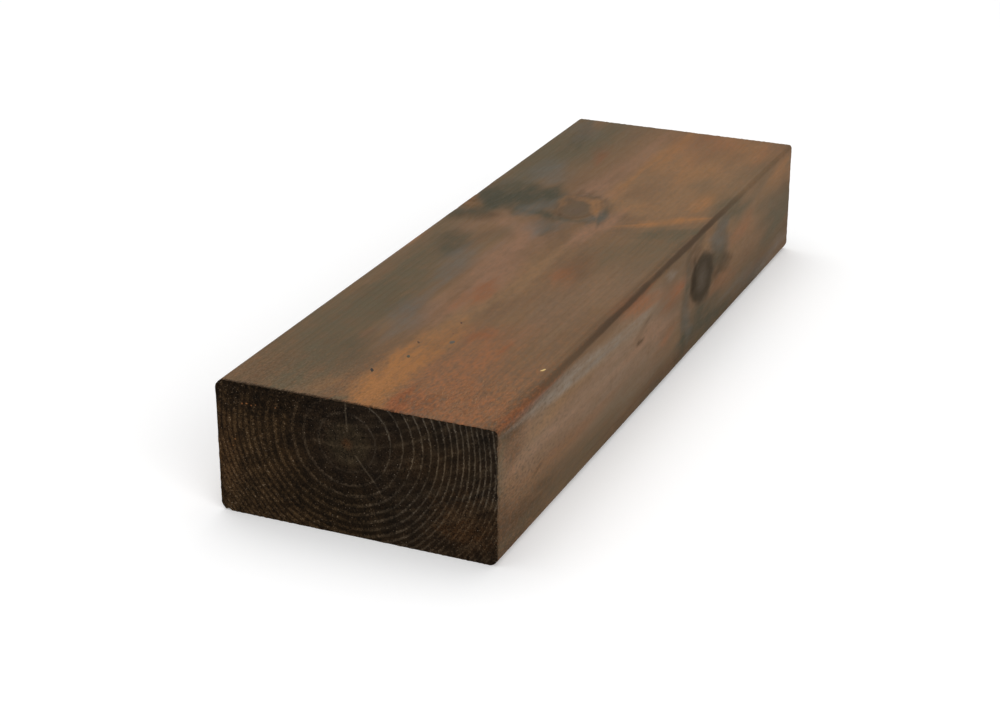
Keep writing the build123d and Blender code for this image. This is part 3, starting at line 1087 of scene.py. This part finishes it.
# %% Sawn ends: rings
tree = sawn_tree
place = mm_place(tree)
age, out, _ = grow(tree, place)
radius = add(tree, "ShaderNodeVectorMath", [out], operation="LENGTH")
way_out = add(tree, "ShaderNodeVectorMath", [out], operation="NORMALIZE")
facing = add(tree, "ShaderNodeVectorMath", [way_out, (0.94, 0, 0.34)], operation="DOT_PRODUCT")
crisp = {"Value": facing, "From Min": -0.5, "From Max": 0.8}
crisp = add(tree, "ShaderNodeMapRange", crisp, interpolation_type="SMOOTHSTEP")
young = {"Value": radius, "From Min": 10.0, "From Max": 22.0, "To Min": 0.7, "To Max": 0.0}
young = add(tree, "ShaderNodeMapRange", young)
crisp = add(tree, "ShaderNodeMath", [crisp, young], operation="MAXIMUM")
cells = grain_noise(tree, place, 0.36, 4, 2.0)
clots = grain_noise(tree, place, 1.0, 4, 3.0)
mottle = grain_noise(tree, place, 4.0, 4.0, 4.0)
line_width = add(tree, "ShaderNodeMapRange", {"Value": crisp, "To Min": 1.15, "To Max": 0.48})
years_per_mm = [radius, years_per_mm_rise, years_per_mm_at_pith]
years_per_mm = add(tree, "ShaderNodeMath", years_per_mm, operation="MULTIPLY_ADD")
ring_share = add(tree, "ShaderNodeMath", [line_width, years_per_mm], operation="MULTIPLY")
shaken = add(tree, "ShaderNodeMath", [cells, 0.3, clots], operation="MULTIPLY_ADD")
shaken = add(tree, "ShaderNodeMath", [shaken, years_per_mm], operation="MULTIPLY")
shaken = add(tree, "ShaderNodeMath", [shaken, 0.22, age], operation="MULTIPLY_ADD")
late = latewood(tree, shaken, ring_share)
strong = add(tree, "ShaderNodeMath", [clots, 0.55, mottle], operation="MULTIPLY_ADD")
strong = {"Value": strong, "From Min": -1.0, "From Max": 1.0, "To Min": 0.10, "To Max": 1.0}
strong = add(tree, "ShaderNodeMapRange", strong)
late = add(tree, "ShaderNodeMath", [late, strong], operation="MULTIPLY")
outside = {"Value": radius, "From Min": 6.0, "From Max": 14.0}
outside = add(tree, "ShaderNodeMapRange", outside)
late = add(tree, "ShaderNodeMath", [late, outside], operation="MULTIPLY")

# %% [markdown]
# The end did not take the treatment evenly. It is blackest along the top to the left and below the
# core, browner at the left face, warmer high on the right, and rusty where the saw tore it low on
# the right. Where it was torn or clogged, and in the core, the lines are hard to see as well. So
# each zone says how many times brighter it is in red, green and blue, and how much of the lines it
# leaves.

# %% Sawn ends: zones
zones = [
    # middle, half width, half height, times brighter in red, green and blue, and lines left
    (on_stick(16, 0, 1), 34, 10, (0.58, 0.60, 0.65), 0.35),
    (on_stick(42, 0, 34), 20, 9, (0.64, 0.68, 0.73), 0.9),
    (on_stick(1, 0, 25), 8, 15, (1.42, 1.32, 1.26), 1.0),
    (on_stick(74, 0, 16), 20, 10, (1.42, 1.27, 1.06), 1.0),
    (on_stick(87, 0, 32), 15, 8, (1.85, 1.50, 1.14), 0.28),
    (on_stick(86, 0, 41), 18, 8, (1.48, 1.30, 1.10), 0.25),
    (on_stick(63, 0, 23), 13, 11, (1.02, 1.02, 1.02), 0.5),
    (on_stick(45, 0, 14), 17, 17, (1.0, 1.0, 1.0), 0.7),
]
laid_zones = []
clear = 1.0
for middle, half_across, half_up, times, lines_left in zones:
    ways = (1 / half_across, 0, 1 / half_up)
    off = add(tree, "ShaderNodeVectorMath", [place, middle], operation="SUBTRACT")
    off = add(tree, "ShaderNodeVectorMath", [off, ways], operation="MULTIPLY")
    off = add(tree, "ShaderNodeVectorMath", [off], operation="LENGTH")
    off = add(tree, "ShaderNodeMath", [clots, 0.4, off], operation="MULTIPLY_ADD")
    laid = {"Value": off, "From Min": 0.2, "From Max": 1.4, "To Min": 1.0, "To Max": 0.0}
    laid = add(tree, "ShaderNodeMapRange", laid, interpolation_type="SMOOTHSTEP")
    laid_zones.append((laid, times))
    left = add(tree, "ShaderNodeMapRange", {"Value": laid, "To Min": 1.0, "To Max": lines_left})
    clear = add(tree, "ShaderNodeMath", [left, clear], operation="MULTIPLY")
late = add(tree, "ShaderNodeMath", [late, clear], operation="MULTIPLY")

# %% [markdown]
# The pale summer wood turns greyer to the right, and the dark spring wood is mottled by how much
# treatment it took up.

# %% Sawn ends: pale and dark wood
lightly_soaked = {"Value": mottle, "From Min": -1.0, "From Max": 1.0}
lightly_soaked = add(tree, "ShaderNodeMapRange", lightly_soaked)
end_tones = {
    # what it follows, the colour where that is 0, and where it is 1
    "pale": (crisp, "#423220", "#494137"),
    "dark_left": (lightly_soaked, "#160f08", "#2c1f11"),
    "dark_right": (lightly_soaked, "#130e09", "#241b12"),
    "core": (lightly_soaked, "#221b12", "#32291c"),
}
tone_of = {}
for part, (follows, first, last) in end_tones.items():
    tones = {"Factor": follows, "A": linear(first), "B": linear(last)}
    tone_of[part] = add(tree, "ShaderNodeMix", tones, data_type="RGBA")
dark = {"Factor": crisp, "A": tone_of["dark_left"], "B": tone_of["dark_right"]}
dark = add(tree, "ShaderNodeMix", dark, data_type="RGBA")

# %% [markdown]
# Round the pith lies the juvenile wood, which is even and greyer, and the pith itself is a rusty
# dot. Over all of this the zones make the colour lighter or darker.

# %% Sawn ends: core and pith, and the zones over them
in_core = add(tree, "ShaderNodeMath", [clots, 0.7, radius], operation="MULTIPLY_ADD")
in_core = {"Value": in_core, "From Min": 5.0, "From Max": 9.0, "To Min": 1.0, "To Max": 0.0}
in_core = add(tree, "ShaderNodeMapRange", in_core, interpolation_type="SMOOTHSTEP")
dark = add(tree, "ShaderNodeMix", {"Factor": in_core, "A": dark, "B": tone_of["core"]}, data_type="RGBA")
colour = add(tree, "ShaderNodeMix", {"Factor": late, "A": dark, "B": tone_of["pale"]}, data_type="RGBA")

pith = add(tree, "ShaderNodeMath", [clots, 0.8, radius], operation="MULTIPLY_ADD")
pith = {"Value": pith, "From Min": 0.2, "From Max": 2.6, "To Min": 0.5, "To Max": 0.0}
pith = add(tree, "ShaderNodeMapRange", pith, interpolation_type="SMOOTHSTEP")
colour = {"Factor": pith, "A": colour, "B": linear("#51331d")}
colour = add(tree, "ShaderNodeMix", colour, data_type="RGBA")

for laid, times in laid_zones:
    brighter = add(tree, "ShaderNodeMix", [laid, (1, 1, 1), times], data_type="VECTOR")
    colour = add(tree, "ShaderNodeVectorMath", [colour, brighter], operation="MULTIPLY")

# %% [markdown]
# As the end dried it opened in two fine checks. Dust settled in them, so each is a pale hairline,
# given by its two ends. The second check bends and fades, so it takes two lines.

# %% Sawn ends: drying checks
checks = [
    # from, to, strength
    (on_stick(45.0, 0, 0.5), on_stick(45.4, 0, 9.5), 0.26),
    (on_stick(47.8, 0, 17.2), on_stick(54.4, 0, 25.2), 0.22),
    (on_stick(54.4, 0, 25.2), on_stick(56.6, 0, 29.0), 0.10),
]
hairline = None
for start, end, strength in checks:
    _, gap = from_line(tree, place, start, end, least=0.0, most=1.0, ways=(1, 0, 1))
    gap = add(tree, "ShaderNodeMath", [cells, 0.08, gap], operation="MULTIPLY_ADD")
    one = {"Value": gap, "From Min": 0.12, "From Max": 0.42, "To Min": strength, "To Max": 0.0}
    one = add(tree, "ShaderNodeMapRange", one, interpolation_type="SMOOTHSTEP")
    hairline = one if hairline is None else add(tree, "ShaderNodeMath", [hairline, one], operation="MAXIMUM")
near_only = add(tree, "ShaderNodeSeparateXYZ", [place]).outputs["Y"]
near_only = add(tree, "ShaderNodeMath", [near_only, 0.0], operation="LESS_THAN")
hairline = add(tree, "ShaderNodeMath", [hairline, near_only], operation="MULTIPLY")
colour = {"Factor": hairline, "A": colour, "B": linear("#6a5d4c")}
colour = add(tree, "ShaderNodeMix", colour, data_type="RGBA")

# %% [markdown]
# The saw blade came down through the stick and left arcs about its own centre, above the stick.
# They show most where the rings are crisp and the wood is lightly soaked.

# %% Sawn ends: saw marks
saw_middle = on_stick(40, 0, -51)
from_saw = add(tree, "ShaderNodeVectorMath", [place, saw_middle], operation="SUBTRACT")
from_saw = add(tree, "ShaderNodeVectorMath", [from_saw, (1, 0, 1)], operation="MULTIPLY")
sweep = add(tree, "ShaderNodeVectorMath", [from_saw], operation="LENGTH")
sweep = add(tree, "ShaderNodeMath", [sweep, 1 / 2.4], operation="MULTIPLY")
teeth = add(tree, "ShaderNodeTexNoise", {"W": sweep, "Scale": 1.0, "Detail": 2.0}, noise_dimensions="1D")
scored = {"Value": teeth, "From Min": 0.46, "From Max": 0.72, "To Min": 0.0, "To Max": 0.34}
scored = add(tree, "ShaderNodeMapRange", scored)
scored = add(tree, "ShaderNodeMath", [scored, crisp], operation="MULTIPLY")
scored = add(tree, "ShaderNodeMath", [scored, lightly_soaked], operation="MULTIPLY")
colour = {"Factor": scored, "A": colour, "B": linear("#4f4232")}
colour = add(tree, "ShaderNodeMix", colour, data_type="RGBA")

# %% [markdown]
# Single bundles of tubes catch the light or are torn out. The end is roughest where few lines are
# left, because both come from the same tearing, and the clots are strongest in the core.

# %% Sawn ends: bright and torn tubes
glints = add(tree, "ShaderNodeMath", [late, 0.35, cells], operation="MULTIPLY_ADD")
glints = {"Value": glints, "From Min": 0.80, "From Max": 1.20, "To Min": 0.0, "To Max": 0.5}
glints = add(tree, "ShaderNodeMapRange", glints)
colour = {"Factor": glints, "A": colour, "B": linear("#766a5b")}
colour = add(tree, "ShaderNodeMix", colour, data_type="RGBA")
torn = add(tree, "ShaderNodeMapRange", {"Value": crisp, "To Min": 1.26, "To Max": 0.86})
torn = add(tree, "ShaderNodeMath", [clear, -0.5, torn], operation="MULTIPLY_ADD")
clotted = add(tree, "ShaderNodeMath", [in_core, 0.22, 0.26], operation="MULTIPLY_ADD")
grainy = 1.0
for pattern, strength in ((cells, torn), (clots, clotted)):
    grainy = add(tree, "ShaderNodeMath", [pattern, strength, grainy], operation="MULTIPLY_ADD")
pits = {"Value": cells, "From Min": -0.45, "From Max": -0.95, "To Min": 1.0, "To Max": 0.3}
pits = add(tree, "ShaderNodeMapRange", pits)
grainy = add(tree, "ShaderNodeMath", [grainy, pits], operation="MULTIPLY")
colour = add(tree, "ShaderNodeVectorMath", {"Vector": colour, "Scale": grainy}, operation="SCALE")

# %% Sawn ends: surface
relief = 0.0
for pattern, height in ((cells, 0.06), (late, 0.10), (teeth, 0.12)):
    relief = add(tree, "ShaderNodeMath", [pattern, height, relief], operation="MULTIPLY_ADD")
bump = add(tree, "ShaderNodeBump", {"Strength": 1.0, "Distance": MM, "Height": relief})
skin = {"Base Color": colour, "Roughness": 0.9, "Normal": bump, "Specular IOR Level": 0.05}
skin = add(tree, "ShaderNodeBsdfPrincipled", skin)
tree.links.new(skin.outputs[0], sawn_surface)
print("nodes in the sawn finish", len(tree.nodes))

# %% [markdown]
# ## Torn fibres
# A planer that is getting blunt plucks the wood, and a saw leaves the ends full of broken tubes and
# crumbs. Both are hundreds of tiny splinters that lie on the wood, which a texture could only draw.
# One Geometry Nodes tree strews them: it picks places on the body's own mesh, inside a zone and on
# the side that faces a given way, turns a small twenty-sided splinter along the grain at each, and
# presses whatever would stand out of the stick's outline back into it.

# %% Start the strewing tree
strewing = bpy.data.node_groups.new("strewn splinters", "GeometryNodeTree")
strewing.interface.new_socket(name="Splinters", in_out="OUTPUT", socket_type="NodeSocketGeometry")
wanted = {
    "Wood": "Object",
    "Zone low": "Vector",
    "Zone high": "Vector",
    "Soft border": "Float",
    "Facing": "Vector",
    "Grain": "Vector",
    "Per square mm": "Float",
    "Splinter size": "Vector",
    "Spread": "Float",
    "Outline low": "Vector",
    "Outline high": "Vector",
    "Seed": "Int",
    "Material": "Material",
}
for name, kind in wanted.items():
    strewing.interface.new_socket(name=name, in_out="INPUT", socket_type="NodeSocket" + kind)
given = add(strewing, "NodeGroupInput").outputs
wood = add(strewing, "GeometryNodeObjectInfo", [given["Wood"]]).outputs["Geometry"]
wood = add(strewing, "GeometryNodeTransform", {"Geometry": wood, "Scale": (1 / MM, 1 / MM, 1 / MM)})

# %% Pick the places
spot = add(strewing, "GeometryNodeInputPosition")
above_low = add(strewing, "ShaderNodeVectorMath", [spot, given["Zone low"]], operation="SUBTRACT")
below_high = add(strewing, "ShaderNodeVectorMath", [given["Zone high"], spot], operation="SUBTRACT")
margin = add(strewing, "ShaderNodeVectorMath", [above_low, below_high], operation="MINIMUM")
margin = add(strewing, "ShaderNodeSeparateXYZ", [margin]).outputs
margin_xy = add(strewing, "ShaderNodeMath", [margin["X"], margin["Y"]], operation="MINIMUM")
margin = add(strewing, "ShaderNodeMath", [margin_xy, margin["Z"]], operation="MINIMUM")
in_zone = add(strewing, "ShaderNodeMapRange", {"Value": margin, "From Max": given["Soft border"]})
normal = add(strewing, "GeometryNodeInputNormal")
faces_it = add(strewing, "ShaderNodeVectorMath", [normal, given["Facing"]], operation="DOT_PRODUCT")
faces_it = {"Value": faces_it, "From Min": 0.5, "From Max": 0.8}
faces_it = add(strewing, "ShaderNodeMapRange", faces_it)
clumps = add(strewing, "ShaderNodeTexNoise", {"Vector": spot, "Scale": 1 / 2.6, "Detail": 2.0})
clumps = {"Value": clumps, "From Min": 0.38, "From Max": 0.62}
clumps = add(strewing, "ShaderNodeMapRange", clumps, interpolation_type="SMOOTHSTEP")
density = add(strewing, "ShaderNodeMath", [given["Per square mm"], in_zone], operation="MULTIPLY")
density = add(strewing, "ShaderNodeMath", [density, faces_it], operation="MULTIPLY")
density = add(strewing, "ShaderNodeMath", [density, clumps], operation="MULTIPLY")
picked = {"Mesh": wood, "Density": density, "Seed": given["Seed"]}
picked = add(strewing, "GeometryNodeDistributePointsOnFaces", picked)

# %% Turn and size the splinters
along = {"Rotation": picked.outputs["Rotation"], "Vector": given["Grain"]}
along = add(strewing, "FunctionNodeAlignRotationToVector", along, axis="X", pivot_axis="Z")
no_spread = add(strewing, "ShaderNodeMath", [given["Spread"], -1], operation="MULTIPLY")
yaw = {"Min": no_spread, "Max": given["Spread"], "Seed": 11}
yaw = add(strewing, "FunctionNodeRandomValue", yaw, data_type="FLOAT")
pitch = {"Min": -0.05, "Max": 0.05, "Seed": 12}
pitch = add(strewing, "FunctionNodeRandomValue", pitch, data_type="FLOAT")
lean = add(strewing, "ShaderNodeCombineXYZ", {"Y": pitch, "Z": yaw})
turned = {"Rotation": along, "Rotate By": lean}
turned = add(strewing, "FunctionNodeRotateRotation", turned, rotation_space="LOCAL")
grade = {"Min": (0.5, 0.6, 0.6), "Max": (1.4, 1.3, 1.2), "Seed": 13}
grade = add(strewing, "FunctionNodeRandomValue", grade, data_type="FLOAT_VECTOR")
sizes = add(strewing, "ShaderNodeVectorMath", [grade, given["Splinter size"]], operation="MULTIPLY")
splinter = add(strewing, "GeometryNodeMeshIcoSphere", {"Radius": 0.5, "Subdivisions": 1})
laid = {"Points": picked, "Instance": splinter, "Rotation": turned, "Scale": sizes}
laid = add(strewing, "GeometryNodeInstanceOnPoints", laid)

# %% Finish the strewing tree
tone = add(strewing, "FunctionNodeRandomValue", {"Seed": 14}, data_type="FLOAT")
toned = {"Geometry": laid, "Name": "tone", "Value": tone}
toned = add(strewing, "GeometryNodeStoreNamedAttribute", toned, data_type="FLOAT", domain="INSTANCE")
real = add(strewing, "GeometryNodeRealizeInstances", [toned])
held = add(strewing, "ShaderNodeVectorMath", [spot, given["Outline low"]], operation="MAXIMUM")
held = add(strewing, "ShaderNodeVectorMath", [held, given["Outline high"]], operation="MINIMUM")
real = add(strewing, "GeometryNodeSetPosition", {"Geometry": real, "Position": held})
real = add(strewing, "GeometryNodeTransform", {"Geometry": real, "Scale": (MM, MM, MM)})
real = {"Geometry": real, "Material": given["Material"]}
real = add(strewing, "GeometryNodeSetMaterial", real)
add(strewing, "NodeGroupOutput", [real])
print("nodes in the strewing tree", len(strewing.nodes))

# %% [markdown]
# Broken fibres are dry and pale on the planed face, and brown or grey on the soaked ends. Each carries
# a random tone from the tree, and the material turns it into a colour between three of its own.

# %% Torn fibre materials
def torn_wood(name, tones):
    """Matt broken wood, whose colour runs through three tones from splinter to splinter."""
    material, tree, surface = plain_material(name)
    place = mm_place(tree)
    tone = add(tree, "ShaderNodeAttribute", attribute_name="tone").outputs["Fac"]
    ramp = add(tree, "ShaderNodeValToRGB", [tone])
    ramp.color_ramp.elements.new(0.5)
    for stop, shade in zip(ramp.color_ramp.elements, tones):
        stop.color = linear(shade)
    hairs = grain_noise(tree, place, 0.12, 0.6, 1.0)
    bright = add(tree, "ShaderNodeMath", [hairs, 0.12, 0.95], operation="MULTIPLY_ADD")
    colour = {"Vector": ramp.outputs["Color"], "Scale": bright}
    colour = add(tree, "ShaderNodeVectorMath", colour, operation="SCALE")
    bump = add(tree, "ShaderNodeBump", {"Strength": 0.6, "Distance": 0.04 * MM, "Height": hairs})
    rough = add(tree, "ShaderNodeMath", [hairs, 0.06, 0.85], operation="MULTIPLY_ADD")
    skin = {"Base Color": colour, "Roughness": rough, "Normal": bump, "Specular IOR Level": 0.10}
    skin = add(tree, "ShaderNodeBsdfPrincipled", skin)
    tree.links.new(skin.outputs[0], surface)
    return material


plucked_softwood = torn_wood("plucked_softwood_fibre", ["#644a36", "#855c3d", "#9a7a5a"])
broken_softwood = torn_wood("broken_softwood_crumb", ["#2a2015", "#463624", "#6f6355"])

# %% [markdown]
# The tree runs four times: for the plucked fibres on top of the near end, for the crumbs on both
# sawn ends, and for the fibres along the near end's right rim. Each has a seed of its own, so that
# every run gives the same splinters. They stay a hundredth of a millimetre inside the stick's box.

# %% Strew them
skin_gap = Vector((0.01, 0.01, 0.01))
outline_low = low / MM + skin_gap
outline_high = high / MM - skin_gap
near_y = -length / 2
patches = {
    # name: zone low, zone high, soft border, facing, grain, per square mm, size, spread, seed, finish
    "plucked_fibres": (
        (14, near_y - 12, 30), (46.5, near_y + 34, 60), 12.0,
        (0, 0, 1), (-0.10, 1, 0), 1.6, (1.8, 0.15, 0.10), 0.30, 5, plucked_softwood,
    ),
    "near_end_crumbs": (
        (-60, near_y - 9, -9), (60, near_y + 9, 60), 5.0,
        (0, -1, 0), (0.5, 0, 1), 0.26, (0.32, 0.22, 0.20), 3.1, 8, broken_softwood,
    ),
    "near_rim_fibres": (
        (46.1, near_y - 9, -9), (60, near_y + 9, 60), 0.6,
        (0, -1, 0), (1, 0, 0.4), 2.4, (0.55, 0.15, 0.15), 0.9, 9, broken_softwood,
    ),
    "far_end_crumbs": (
        (-60, -near_y - 9, -9), (60, -near_y + 9, 60), 5.0,
        (0, 1, 0), (0.5, 0, 1), 0.26, (0.32, 0.22, 0.20), 3.1, 10, broken_softwood,
    ),
}
for name, patch_sizes in patches.items():
    zone_low, zone_high, border, facing, grain, crowd, size, spread, seed, finish = patch_sizes
    choices = {
        "Wood": timber,
        "Zone low": zone_low,
        "Zone high": zone_high,
        "Soft border": border,
        "Facing": facing,
        "Grain": grain,
        "Per square mm": crowd,
        "Splinter size": size,
        "Spread": spread,
        "Outline low": outline_low,
        "Outline high": outline_high,
        "Seed": seed,
        "Material": finish,
    }
    fibres = grow_mesh(name, strewing, choices)
    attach(fibres, "root")

# %% [markdown]
# ## Resin drops and a flake
# Resin wept out of the wood and set: six dark drops along the top, and on the near end five amber
# ones in a row under the upper edge and two at the left. The planer left one pale flake of bast.
# They are few and each has its own place, so they are made one by one in mesh code, as lumpy lenses
# sunk in the wood. A colour stored on the mesh tells them apart, so that one material serves all.

# %% Resin drops: shapes
drops = {
    # across, along or down, half width, half length or depth, half height, turn in degrees, colour
    "top": [
        (41.3, 25.3, 0.70, 1.8, 0.09, 28, "#1f1a12"),
        (45.0, 51.0, 0.45, 1.2, 0.08, 35, "#4a3522"),
        (47.1, 39.4, 0.65, 1.5, 0.09, 20, "#45402f"),
        (50.8, 71.2, 0.60, 1.8, 0.08, 30, "#4a2f20"),
        (52.2, 61.8, 0.70, 1.0, 0.08, 0, "#5a3c27"),
        (54.9, 55.2, 1.00, 1.4, 0.08, 0, "#524b40"),
        (90.0, 46.4, 0.70, 1.7, 0.16, -20, "#d6b878"),
    ],
    "end": [
        (9.3, 6.9, 0.35, 0.30, 0.18, 0, "#6e4423"),
        (10.9, 6.6, 0.40, 0.30, 0.18, 0, "#80512a"),
        (12.6, 7.0, 0.35, 0.28, 0.16, 0, "#6e4423"),
        (14.0, 6.6, 0.28, 0.25, 0.16, 0, "#5d3b20"),
        (21.0, 6.2, 0.30, 0.40, 0.18, 0, "#5d3b20"),
        (6.2, 19.5, 0.35, 0.30, 0.16, 0, "#6a4626"),
        (5.4, 21.8, 0.28, 0.25, 0.14, 0, "#6a4626"),
    ],
}
drop_mesh = bpy.data.meshes.new("resin_drops")
lumps = bmesh.new()
shade_of = lumps.verts.layers.float_color.new("shade")
sunk = 0.012
lump_scale = 1.4
lumpiness = 0.22
for face, rows in drops.items():
    for across, along, half_across, half_along, half_height, turn, shade in rows:
        if face == "top":
            middle = on_stick(across, along, half_height + sunk)
            spread = Vector((half_across, half_along, half_height))
        else:
            middle = on_stick(across, half_height + sunk, along)
            spread = Vector((half_across, half_height, half_along))
        drop = bmesh.ops.create_icosphere(lumps, subdivisions=3, radius=1.0)["verts"]
        for point in drop:
            lump = noise.noise(point.co * lump_scale + middle)
            rounder = 1 - lumpiness * (lump + 0.5)
            point.co = point.co * rounder * spread
            point.co.rotate(Euler((0, 0, math.radians(turn))))
            point.co = (middle + point.co) * MM
            point[shade_of] = linear(shade)
lumps.normal_update()
lumps.to_mesh(drop_mesh)
lumps.free()
drop_mesh.shade_smooth()
resin_drops = bpy.data.objects.new("resin_drops", drop_mesh)
bpy.context.scene.collection.objects.link(resin_drops)
print("resin_drops", len(drop_mesh.polygons), "triangles")

# %% [markdown]
# Set resin is a brittle varnish under dust, so it is smoother than the wood but hardly shines.

# %% Resin drops: material
dried_resin, tree, surface = plain_material("dried_softwood_resin")
place = mm_place(tree)
shade = add(tree, "ShaderNodeAttribute", attribute_name="shade").outputs["Color"]
dust = grain_noise(tree, place, 0.25, 0.4, 2.0)
bright = add(tree, "ShaderNodeMath", [dust, 0.12, 1.0], operation="MULTIPLY_ADD")
colour = add(tree, "ShaderNodeVectorMath", {"Vector": shade, "Scale": bright}, operation="SCALE")
bump = add(tree, "ShaderNodeBump", {"Strength": 0.5, "Distance": 0.05 * MM, "Height": dust})
rough = add(tree, "ShaderNodeMath", [dust, 0.10, 0.55], operation="MULTIPLY_ADD")
skin = {"Base Color": colour, "Roughness": rough, "Normal": bump, "Specular IOR Level": 0.1}
skin = add(tree, "ShaderNodeBsdfPrincipled", skin)
tree.links.new(skin.outputs[0], surface)
print("materials", [material.name for material in bpy.data.materials])
drop_mesh.materials.append(dried_resin)
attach(resin_drops, "root")
